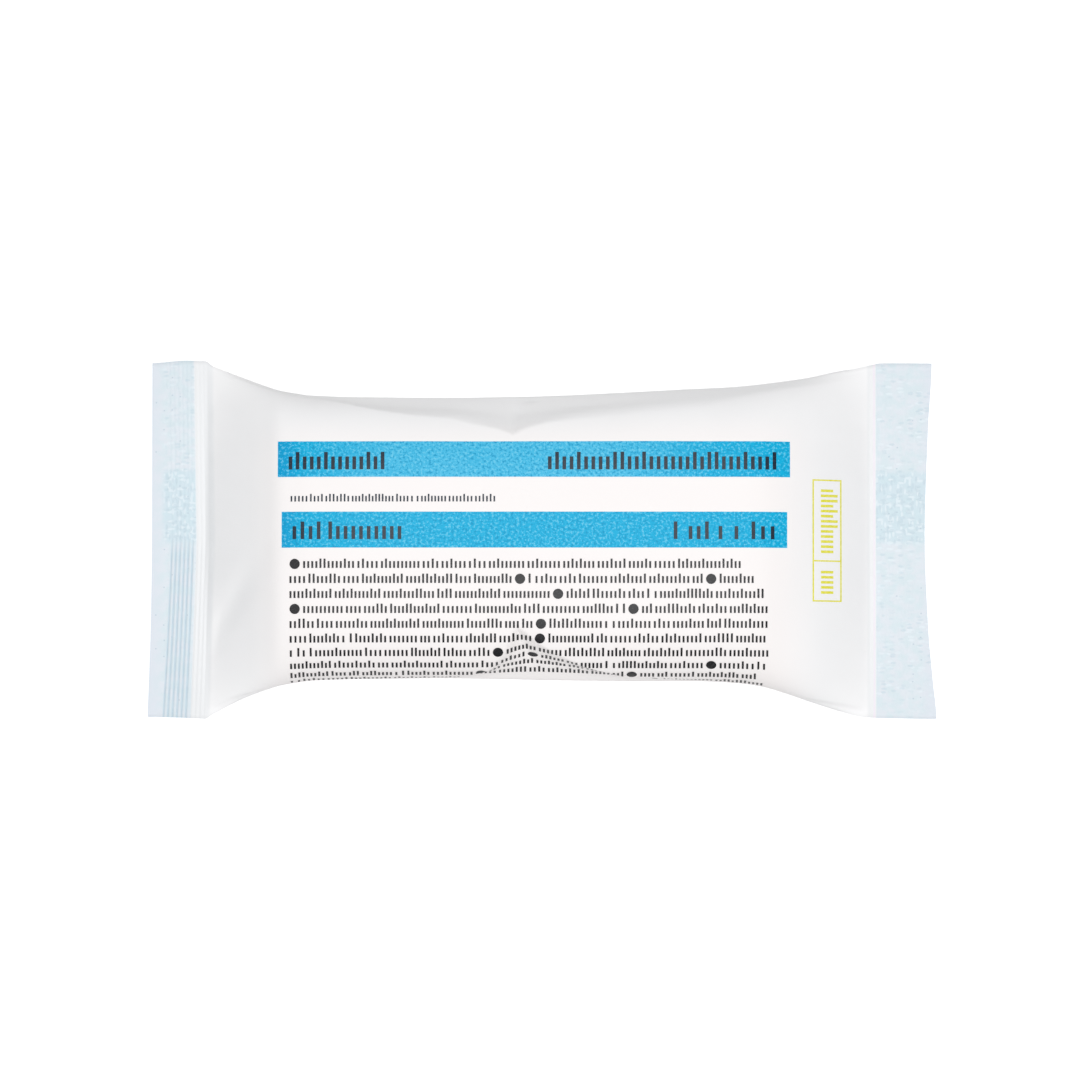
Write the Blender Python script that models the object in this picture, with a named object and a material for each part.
"""Sealed first-aid bandage pack.

A sheet of sealing paper is rolled into a tube round a flat-wound elastic bandage and its
folded compress. The sheet's long edges meet in a fin seam that lies folded flat under the
back, and both ends of the tube are pressed flat and crimped.

Axes: X along the pack, Y across it, Z up. The origin is under the middle of the pack, on
the surface that it lies on. Lengths are in metres.
"""

from collections import namedtuple

import bmesh
import bpy
import numpy as np

MM = 0.001

# The bandage, wound flat, with its axis along the pack
BANDAGE_WIDTH = 60 * MM
ROLL_ACROSS = 29.0 * MM
ROLL_HEIGHT = 9.0 * MM
ROLL_EDGE = 1.5 * MM
ROLL_TURN = 0.6 * MM

# The compress, folded in three like a letter, under the bandage and as wide as that
PAD_FOLDED = 26 * MM
PAD_LAYER = 1.3 * MM
PAD_LAYER_GAP = 0.3 * MM

# Room between the pieces
CLEARANCE = 0.3 * MM
TOP_ROOM = 0.6 * MM
SIDE_ROOM = 2.95 * MM
LEFT_ROOM = 9.85 * MM
RIGHT_ROOM = 14.5 * MM

# The wrapper's paper and its seams
PAPER = 0.35 * MM
FIN_WIDTH = 8.6 * MM
SEAL_COAT = 0.20 * MM
FIN_CREVICE = 0.15 * MM
FOLD_ROOM = 0.20 * MM
LEFT_SEAL = 7.25 * MM
RIGHT_SEAL = 8.4 * MM
SEAL_LIFT = 7.4 * MM
SEAL_MARGIN = 1.1 * MM

# The crimp: ribs across the pack, pressed into both ends
RIB_PITCH = 0.6 * MM
LEFT_RIB_HEIGHT = 0.20 * MM
RIGHT_RIB_HEIGHT = 0.10 * MM

# How far the tube's back bulges before the surface under it presses it flat, as a share of
# the front's own bulge
BELLY = 1.2

# Exponents (across, up) of the section's curve: a lens beside the seals and a box with
# rounded corners over the bandage
LENS = 2.0, 1.2
BOX = 4.3, 2.5

# How far a flat facet on a corner is pressed in, for one as wide as a quarter of the tube
FACET_DEPTH = 4.0 * MM

# Sizes that follow from those above
FIN_STACK = 2 * PAPER + SEAL_COAT + FIN_CREVICE
PAD_HEIGHT = 3 * PAD_LAYER + 2 * PAD_LAYER_GAP
PAD_BOTTOM = PAPER + FIN_STACK + CLEARANCE
ROLL_BOTTOM = PAD_BOTTOM + PAD_HEIGHT + CLEARANCE
CEILING = ROLL_BOTTOM + ROLL_HEIGHT + TOP_ROOM
HALF_HEIGHT = (CEILING - PAPER) / 2
HALF_WAIST = ROLL_ACROSS / 2 + SIDE_ROOM
PACK_LENGTH = LEFT_SEAL + LEFT_ROOM + BANDAGE_WIDTH + RIGHT_ROOM + RIGHT_SEAL
LEFT_SEAL_END = -PACK_LENGTH / 2 + LEFT_SEAL
RIGHT_SEAL_START = PACK_LENGTH / 2 - RIGHT_SEAL
ROLL_LEFT = LEFT_SEAL_END + LEFT_ROOM
ROLL_RIGHT = ROLL_LEFT + BANDAGE_WIDTH

# The tube's sections. at: place along the pack, from -1 at the left seal to 0 and 1 at the
# bandage's ends and 2 at the right seal. spread: half width, from 0 at the waist to 1 where
# the tube is pressed flat. height: share of the full height.
Section = namedtuple("Section", "at spread height")
SECTIONS = (
    Section(-1.00, 1.00, 0.00),
    Section(-0.90, 0.88, 0.16),
    Section(-0.80, 0.78, 0.30),
    Section(-0.65, 0.63, 0.47),
    Section(-0.48, 0.49, 0.63),
    Section(-0.25, 0.32, 0.80),
    Section(0.00, 0.17, 0.92),
    Section(0.06, 0.06, 0.975),
    Section(0.16, 0.02, 1.00),
    Section(0.34, 0.00, 1.00),
    Section(0.54, 0.04, 1.00),
    Section(0.75, 0.11, 1.00),
    Section(0.90, 0.17, 0.985),
    Section(0.96, 0.22, 0.97),
    Section(1.04, 0.30, 0.93),
    Section(1.26, 0.41, 0.82),
    Section(1.48, 0.57, 0.65),
    Section(1.70, 0.75, 0.42),
    Section(1.90, 0.87, 0.16),
    Section(2.00, 0.93, 0.00),
    Section(2.10, 1.00, 0.00),
)

# The front's two long corners are pressed into flat facets. at: as above. start: where the
# facet's upper crease lies, as a share of the way from the front's middle line (0) to the
# side fold (1). Each crease runs in towards the middle to a blunt point near half way.
Crease = namedtuple("Crease", "at start")
FAR_CREASE = (
    Crease(-0.56, 0.93),
    Crease(0.04, 0.84),
    Crease(0.13, 0.80),
    Crease(0.25, 0.735),
    Crease(0.40, 0.685),
    Crease(0.45, 0.64),
    Crease(0.49, 0.605),
    Crease(0.53, 0.655),
    Crease(0.59, 0.69),
    Crease(0.67, 0.735),
    Crease(0.93, 0.80),
    Crease(1.40, 0.86),
    Crease(1.90, 0.95),
)
NEAR_CREASE = (
    Crease(0.00, 0.95),
    Crease(0.33, 0.90),
    Crease(0.42, 0.78),
    Crease(0.47, 0.66),
    Crease(0.51, 0.57),
    Crease(0.55, 0.64),
    Crease(0.61, 0.74),
    Crease(0.69, 0.84),
    Crease(0.93, 0.94),
)

# Soft dents in the front. at: as above. around: share of the way to the far side fold, or
# below 0 to the near one. length and breadth: reach along the pack and round it, as shares
# of the bandage's width. depth: share of the room beside the bandage. turn: angle of the
# dent's long axis to the pack's, in degrees.
Dent = namedtuple("Dent", "at around length breadth depth turn")
DENTS = (
    Dent(-0.62, -0.38, 0.100, 0.028, 0.22, 60),
    Dent(1.25, -0.60, 0.050, 0.080, 0.12, 0),
)

# The cut ends, which are not quite straight. across: share of the half width. left, right:
# how far the cut stands back there, as a share of the seal.
Cut = namedtuple("Cut", "across left right")
CUTS = (
    Cut(-1.00, 0.00, 0.00),
    Cut(-0.80, 0.02, 0.05),
    Cut(-0.50, 0.05, 0.12),
    Cut(0.00, 0.07, 0.17),
    Cut(0.60, 0.07, 0.12),
    Cut(1.00, 0.07, 0.06),
)

# Points round a section: in each quarter of the front, and in the back beside the fin
FRONT_POINTS = 11
NEAR_BACK_POINTS = 8
FAR_BACK_POINTS = 5
FOLD_EASE = 0.3 * MM
DENT_EASE = 3.0 * MM
FIN_STEP_NEAR = 0.8 * MM
FIN_STEP_FAR = 2.4 * MM
ROLL_POINTS = 44


def clear_scene():
    """Remove whatever the open file holds."""
    for thing in list(bpy.data.objects):
        bpy.data.objects.remove(thing, do_unlink=True)


def plain_material(name, colour, roughness):
    """A Principled material of one colour."""
    material = bpy.data.materials.new(name)
    material.use_nodes = True
    shader = material.node_tree.nodes["Principled BSDF"]
    shader.inputs["Base Color"].default_value = (*colour, 1)
    shader.inputs["Roughness"].default_value = roughness
    shader.inputs["Metallic"].default_value = 0
    return material


def add_object(name, mesh, *materials):
    """A shaded object that holds the finished bmesh."""
    bmesh.ops.recalc_face_normals(mesh, faces=mesh.faces)
    data = bpy.data.meshes.new(name)
    mesh.to_mesh(data)
    mesh.free()
    data.shade_smooth()
    data.set_sharp_from_angle(angle=np.radians(40))
    for material in materials:
        data.materials.append(material)
    thing = bpy.data.objects.new(name, data)
    bpy.context.scene.collection.objects.link(thing)
    return thing


def ease(share):
    """Rise from 0 to 1 with level ends."""
    share = np.clip(share, 0, 1)
    return share * share * (3 - 2 * share)


def smooth_line(places, values, at):
    """Read a cubic line that goes through the points and never overshoots them: its slope
    at each is the harmonic mean of the rises on both sides."""
    places = np.asarray(places, float)
    values = np.asarray(values, float)
    step = np.diff(places)
    rise = np.diff(values) / step
    same_way = rise[:-1] * rise[1:] > 0
    total = np.where(same_way, rise[:-1] + rise[1:], 1)
    slope = np.zeros(len(places))
    slope[1:-1] = np.where(same_way, 2 * rise[:-1] * rise[1:] / total, 0)
    at = np.clip(at, places[0], places[-1])
    cell = np.clip(np.searchsorted(places, at) - 1, 0, len(step) - 1)
    width = step[cell]
    t = (at - places[cell]) / width
    start = values[cell] * (1 + 2 * t) + slope[cell] * width * t
    end = values[cell + 1] * (3 - 2 * t) - slope[cell + 1] * width * (1 - t)
    return start * (1 - t) ** 2 + end * t ** 2


def column(rows, name):
    """One column of a table."""
    return [getattr(row, name) for row in rows]


def place_along(at):
    """Turn a table's place into an X coordinate."""
    if at < 0:
        return ROLL_LEFT + at * LEFT_ROOM
    if at > 1:
        return ROLL_RIGHT + (at - 1) * RIGHT_ROOM
    return ROLL_LEFT + at * BANDAGE_WIDTH


def quarter(half_width, rise, squareness, bow, shares, limit=np.inf):
    """Points of one quarter of a section, from its middle line (0) to its side fold (1),
    spaced along the paper. The curve is (y/w)^squareness + (z/h)^bow = 1, pressed flat
    where it would pass the limit."""
    turn = np.linspace(0, np.pi / 2, 181)
    across = half_width * np.sin(turn) ** (2 / squareness)
    up = np.minimum(rise * np.cos(turn) ** (2 / bow), limit)
    run = np.cumsum(np.hypot(np.diff(across, prepend=0), np.diff(up, prepend=up[0])))
    run /= run[-1]
    return np.interp(shares, run, across), np.interp(shares, run, up)


def corner(height):
    """Exponents of the section's curve where the tube has this share of its height."""
    return [lens + (box - lens) * height for lens, box in zip(LENS, BOX)]


def half_girth():
    """Half the length of paper round the fullest section: the width when pressed flat."""
    girth = 0
    shares = np.linspace(0, 1, 400)
    for bulge in (1, BELLY):
        across, up = quarter(HALF_WAIST, bulge * HALF_HEIGHT, *corner(1), shares, HALF_HEIGHT)
        girth += np.hypot(np.diff(across), np.diff(up)).sum()
    return girth


HALF_FLAT = half_girth() / 2


def ring_shares():
    """Where the section's points lie, as shares of a quarter, for the back's near half,
    the front's quarters and the back's far half."""
    last = 1 - FOLD_EASE / HALF_FLAT
    near_start = FIN_STEP_FAR / HALF_FLAT
    far_start = (FIN_WIDTH + FIN_STEP_FAR) / HALF_FLAT
    fin_step = (FIN_WIDTH + FIN_STEP_NEAR) / HALF_FLAT
    near = np.append(FIN_STEP_NEAR / HALF_FLAT, np.linspace(near_start, last, NEAR_BACK_POINTS))
    front = np.linspace(0, last, FRONT_POINTS)
    fin_half = FIN_WIDTH / 2 / HALF_FLAT
    far = np.append([0, fin_half, fin_step], np.linspace(far_start, last, FAR_BACK_POINTS))
    return near, front, far


NEAR_SHARES, FRONT_SHARES, FAR_SHARES = ring_shares()


def inside_face(x):
    """The paper's inside face at one place along the pack, as arrays (across, up). It runs
    from the edge of the fin's lower layer to the root of the fin, round the near side, over
    the front, down the far side, and turns back at the root to the upper layer's edge."""
    rows_x = [place_along(row.at) for row in SECTIONS]
    spread = float(smooth_line(rows_x, column(SECTIONS, "spread"), x))
    height = float(smooth_line(rows_x, column(SECTIONS, "height"), x))
    half_width = HALF_WAIST + (HALF_FLAT - HALF_WAIST) * spread
    rise = HALF_HEIGHT * height
    middle = SEAL_LIFT + (PAPER + HALF_HEIGHT - SEAL_LIFT) * height
    level = middle - FOLD_ROOM / 2 * (1 - height)
    floor = level - PAPER

    front_y, front_z = quarter(half_width, rise, *corner(height), FRONT_SHARES)
    front_z += middle + FOLD_ROOM / 2 * (1 - height)
    near_y, near_drop = quarter(half_width, BELLY * rise, *corner(height), NEAR_SHARES, floor)
    far_y, far_drop = quarter(half_width, BELLY * rise, *corner(height), FAR_SHARES, floor)

    # Over the bandage the fin pushes the back up, and at the seals it hangs below it
    pushed = ease(height / 0.6) * FIN_STACK
    lift = pushed * ease((FIN_WIDTH + FIN_STEP_FAR - far_y) / FIN_STEP_NEAR)
    drop = (FIN_STACK - pushed) * ease((FIN_STEP_FAR - near_y) / (FIN_STEP_FAR - FIN_STEP_NEAR))
    near_z = level - near_drop - drop
    far_z = level - far_drop + lift

    fin_y = np.array([FIN_WIDTH, FIN_WIDTH / 2, 0])
    fin_z = np.interp(fin_y, far_y, level - far_drop) + pushed - FIN_STACK
    bend = (FIN_STACK - SEAL_COAT) / 2
    root_y = np.array([-bend])
    root_z = np.array([far_z[0] - bend])

    across = np.concatenate((fin_y, -near_y, [-half_width], -front_y[::-1], front_y[1:],
                             [half_width], far_y[::-1], root_y, fin_y[::-1]))
    up = np.concatenate((fin_z, near_z, [middle], front_z[::-1], front_z[1:],
                         [middle], far_z[::-1], root_z, fin_z[::-1] + SEAL_COAT))
    return across, up


def outward(across, up):
    """Unit normals that point out of the tube: the mean of those of the two segments that
    meet at each point."""
    step_y, step_z = np.diff(across), np.diff(up)
    length = np.hypot(step_y, step_z)
    normal_y, normal_z = -step_z / length, step_y / length
    mean_y = np.append(normal_y, normal_y[-1]) + np.append(normal_y[0], normal_y)
    mean_z = np.append(normal_z, normal_z[-1]) + np.append(normal_z[0], normal_z)
    size = np.hypot(mean_y, mean_z)
    return mean_y / size, mean_z / size


def front_share():
    """For each point of a section, its share of the way from the front's middle line to a
    side fold, negative on the near side. Points of the back get 9, out of every dent."""
    back_near = np.full(3 + len(NEAR_SHARES), 9.0)
    back_far = np.full(len(FAR_SHARES) + 4, 9.0)
    front = np.concatenate(([-1], -FRONT_SHARES[::-1], FRONT_SHARES[1:], [1]))
    return np.concatenate((back_near, front, back_far))


FRONT_SHARE = front_share()


def facet_depth(x, creases, side):
    """How far a corner is pushed in to make it flat: a hump that starts at the crease and
    ends at the side fold."""
    places = [place_along(crease.at) for crease in creases]
    start = float(smooth_line(places, column(creases, "start"), x))
    share = np.clip((side * FRONT_SHARE - start) / (1 - start), 0, 1)
    hump = 4 * share * (1 - share)
    return FACET_DEPTH * (1 - start) * hump


def dent_depth(x):
    """How far each point of a section is pushed in, by the facets and the soft dents. Both
    die away towards the seals, which are flat."""
    depth = facet_depth(x, FAR_CREASE, 1) + facet_depth(x, NEAR_CREASE, -1)
    for dent in DENTS:
        along = x - place_along(dent.at)
        round_it = (FRONT_SHARE - dent.around) * HALF_FLAT
        turn = np.radians(dent.turn)
        far_along = (along * np.cos(turn) + round_it * np.sin(turn)) / (dent.length * BANDAGE_WIDTH)
        far_round = (round_it * np.cos(turn) - along * np.sin(turn)) / (dent.breadth * BANDAGE_WIDTH)
        depth += dent.depth * SIDE_ROOM * np.exp(-far_along ** 2 - far_round ** 2)
    return depth * ease((x - LEFT_SEAL_END) / DENT_EASE) * ease((RIGHT_SEAL_START - x) / DENT_EASE)


def seal_stations(seal, outer_end, inward):
    """Places along one seal, from its cut end to the last rib: the plain margin, then two
    places to a rib. Each has the side to which the rib pushes the paper there."""
    ribs = max(int((seal - SEAL_MARGIN) / RIB_PITCH), 1)
    stations = [(outer_end, 0), (outer_end + inward * SEAL_MARGIN / 2, 0)]
    for half in range(2 * ribs):
        place = outer_end + inward * (SEAL_MARGIN + half * RIB_PITCH / 2)
        stations.append((place, 1 if half % 2 else -1))
    return stations


def tube_stations():
    """Places along the hollow tube between the seals, closer together at the shoulders."""
    shoulder = np.array([0, 0.07, 0.16, 0.28, 0.42, 0.58, 0.76])
    left = LEFT_SEAL_END + shoulder * LEFT_ROOM
    right = RIGHT_SEAL_START - shoulder * RIGHT_ROOM
    middle = ROLL_LEFT + np.array([0, 0.06, 0.14, 0.24, 0.33, 0.41, 0.49, 0.57,
                                   0.66, 0.76, 0.87, 0.97]) * BANDAGE_WIDTH
    return np.concatenate((left, middle, right[::-1]))


def cut_back(x, across):
    """How far a point of a seal is drawn back from the cut end, because the cut isn't
    straight. It fades out towards the tube."""
    share = across / HALF_FLAT
    places = column(CUTS, "across")
    if x < LEFT_SEAL_END:
        fade = (LEFT_SEAL_END - x) / LEFT_SEAL
        return fade * LEFT_SEAL * smooth_line(places, column(CUTS, "left"), share)
    if x > RIGHT_SEAL_START:
        fade = (x - RIGHT_SEAL_START) / RIGHT_SEAL
        return -fade * RIGHT_SEAL * smooth_line(places, column(CUTS, "right"), share)
    return np.zeros(len(across))


def section_rings(mesh, x, rib, hollow):
    """Add the points of one section: a ring for the paper's outside and, in the hollow
    part, one for its inside."""
    across, up = inside_face(x)
    normal_y, normal_z = outward(across, up)
    depth = dent_depth(x)
    across = across - depth * normal_y
    up = up - depth * normal_z + rib
    normal_y, normal_z = outward(across, up)
    along = x + cut_back(x, across)
    outer = zip(along, across + PAPER * normal_y, up + PAPER * normal_z)
    outer_ring = [mesh.verts.new(point) for point in outer]
    if not hollow:
        return outer_ring, None
    return outer_ring, [mesh.verts.new(point) for point in zip(along, across, up)]


def bridge(mesh, first, second, closed=False):
    """Faces between two rings of as many points. An open ring leaves its last gap free."""
    faces = []
    count = len(first)
    for i in range(count if closed else count - 1):
        j = (i + 1) % count
        faces.append(mesh.faces.new((first[i], first[j], second[j], second[i])))
    return faces


def close_section(mesh, ring):
    """Faces that close one section. The front is stitched to the back from one side fold to
    the other, in triangles that always reach from layer to layer, and so is the fin."""
    near_last = 2 + len(NEAR_SHARES)
    near_fold = near_last + 1
    far_fold = near_fold + 2 * FRONT_POINTS
    root = far_fold + len(FAR_SHARES) + 1
    front = ring[near_fold:far_fold + 1]
    back = ring[near_last:2:-1] + [ring[root]] + ring[root - 1:far_fold:-1]
    i = j = 0
    while i < len(front) - 1 or j < len(back) - 1:
        back_done, front_done = j == len(back) - 1, i == len(front) - 1
        if back_done or (not front_done and front[i + 1].co.y < back[j + 1].co.y):
            mesh.faces.new((front[i], front[i + 1], back[j]))
            i += 1
        else:
            mesh.faces.new((front[i], back[j + 1], back[j]))
            j += 1
    for k in range(3):
        mesh.faces.new((ring[3 - k], ring[2 - k], ring[root + k + 1], ring[root + k]))


def build_wrapper(paper, seal_ink):
    """The paper sheet: closed slabs at the crimped ends and a thin-walled tube between
    them. The tube's hollow reaches the outside between the two layers of the fin."""
    mesh = bmesh.new()
    left = [(x, side * LEFT_RIB_HEIGHT / 2, False)
            for x, side in seal_stations(LEFT_SEAL, -PACK_LENGTH / 2, 1)]
    tube = [(x, 0, True) for x in tube_stations()]
    right = [(x, side * RIGHT_RIB_HEIGHT / 2, False)
             for x, side in seal_stations(RIGHT_SEAL, PACK_LENGTH / 2, -1)]
    rings = [section_rings(mesh, *station) for station in left + tube + right[::-1]]

    for (outer, inner), (next_outer, next_inner) in zip(rings, rings[1:]):
        sides = bridge(mesh, outer, next_outer)
        if inner and next_inner:
            bridge(mesh, inner, next_inner)
            mesh.faces.new((outer[0], inner[0], next_inner[0], next_outer[0]))
            mesh.faces.new((outer[-1], inner[-1], next_inner[-1], next_outer[-1]))
            continue
        for face in sides:
            face.material_index = 1
        edge = [outer[0], outer[-1], next_outer[-1], next_outer[0]]
        if inner:
            edge[1:1] = [inner[0], inner[-1]]
        if next_inner:
            edge[3:3] = [next_inner[-1], next_inner[0]]
        mesh.faces.new(edge)

    hollow_rings = [inner for _, inner in rings if inner]
    for ring in (rings[0][0], rings[-1][0], hollow_rings[0], hollow_rings[-1]):
        close_section(mesh, ring)
    return add_object("wrapper", mesh, paper, seal_ink)


def roll_ring(mesh, x, shrink):
    """One section of the wound bandage: a flat oval whose last turn ends in a step."""
    turn = np.linspace(0, 2 * np.pi, ROLL_POINTS)
    winding = ROLL_TURN * (turn / (2 * np.pi))
    half_y = ROLL_ACROSS / 2 - shrink - ROLL_TURN + winding
    half_z = ROLL_HEIGHT / 2 - shrink - ROLL_TURN + winding
    power = 2 / 2.3
    across = half_y * np.sign(np.cos(turn)) * np.abs(np.cos(turn)) ** power
    up = half_z * np.sign(np.sin(turn)) * np.abs(np.sin(turn)) ** power
    middle = ROLL_BOTTOM + ROLL_HEIGHT / 2
    return [mesh.verts.new((x, y, middle + z)) for y, z in zip(across, up)]


def build_roll(gauze):
    """The bandage, wound flat, with softened end edges."""
    mesh = bmesh.new()
    ends = ((ROLL_LEFT, ROLL_EDGE / 2), (ROLL_LEFT + ROLL_EDGE, 0),
            (ROLL_RIGHT - ROLL_EDGE, 0), (ROLL_RIGHT, ROLL_EDGE / 2))
    rings = [roll_ring(mesh, x, shrink) for x, shrink in ends]
    for ring, next_ring in zip(rings, rings[1:]):
        bridge(mesh, ring, next_ring, closed=True)
    caps = [mesh.faces.new(rings[0]), mesh.faces.new(rings[-1])]
    bmesh.ops.triangulate(mesh, faces=caps, quad_method="BEAUTY", ngon_method="BEAUTY")
    return add_object("bandage_roll", mesh, gauze)


def pad_path():
    """The lower face of the compress's first layer and, after each fold, of the next, as
    one line of points that zigzags up from the wrapper's floor."""
    pitch = PAD_LAYER + PAD_LAYER_GAP
    half = PAD_FOLDED / 2 - pitch
    middle = PAD_BOTTOM + PAD_LAYER / 2
    across, up = [], []
    for layer in range(3):
        side = 1 if layer % 2 == 0 else -1
        level = middle + layer * pitch
        across += [-side * half, side * half]
        up += [level, level]
        if layer < 2:
            across += [side * (half + 0.36 * pitch), side * (half + 0.5 * pitch),
                       side * (half + 0.36 * pitch)]
            up += [level + 0.14 * pitch, level + 0.5 * pitch, level + 0.86 * pitch]
    return np.array(across), np.array(up)


def build_pad(fleece):
    """The compress: one thick sheet, folded in three."""
    mesh = bmesh.new()
    across, up = pad_path()
    normal_y, normal_z = outward(across, up)
    rings = []
    for x in (ROLL_LEFT, ROLL_RIGHT):
        half = PAD_LAYER / 2
        upper = zip(across + half * normal_y, up + half * normal_z)
        lower = zip(across - half * normal_y, up - half * normal_z)
        loop = list(upper) + list(lower)[::-1]
        rings.append([mesh.verts.new((x, y, z)) for y, z in loop])
    bridge(mesh, *rings, closed=True)
    caps = [mesh.faces.new(ring) for ring in rings]
    bmesh.ops.triangulate(mesh, faces=caps, quad_method="BEAUTY", ngon_method="BEAUTY")
    return add_object("wound_pad", mesh, fleece)


def main():
    clear_scene()
    paper = plain_material("sealing_paper", (0.86, 0.86, 0.86), 0.5)
    seal_ink = plain_material("sealed_paper_pale_blue", (0.74, 0.83, 0.88), 0.45)
    gauze = plain_material("elastic_gauze", (0.84, 0.82, 0.77), 0.9)
    fleece = plain_material("absorbent_fleece", (0.9, 0.9, 0.88), 0.95)
    build_wrapper(paper, seal_ink)
    build_roll(gauze)
    build_pad(fleece)


main()
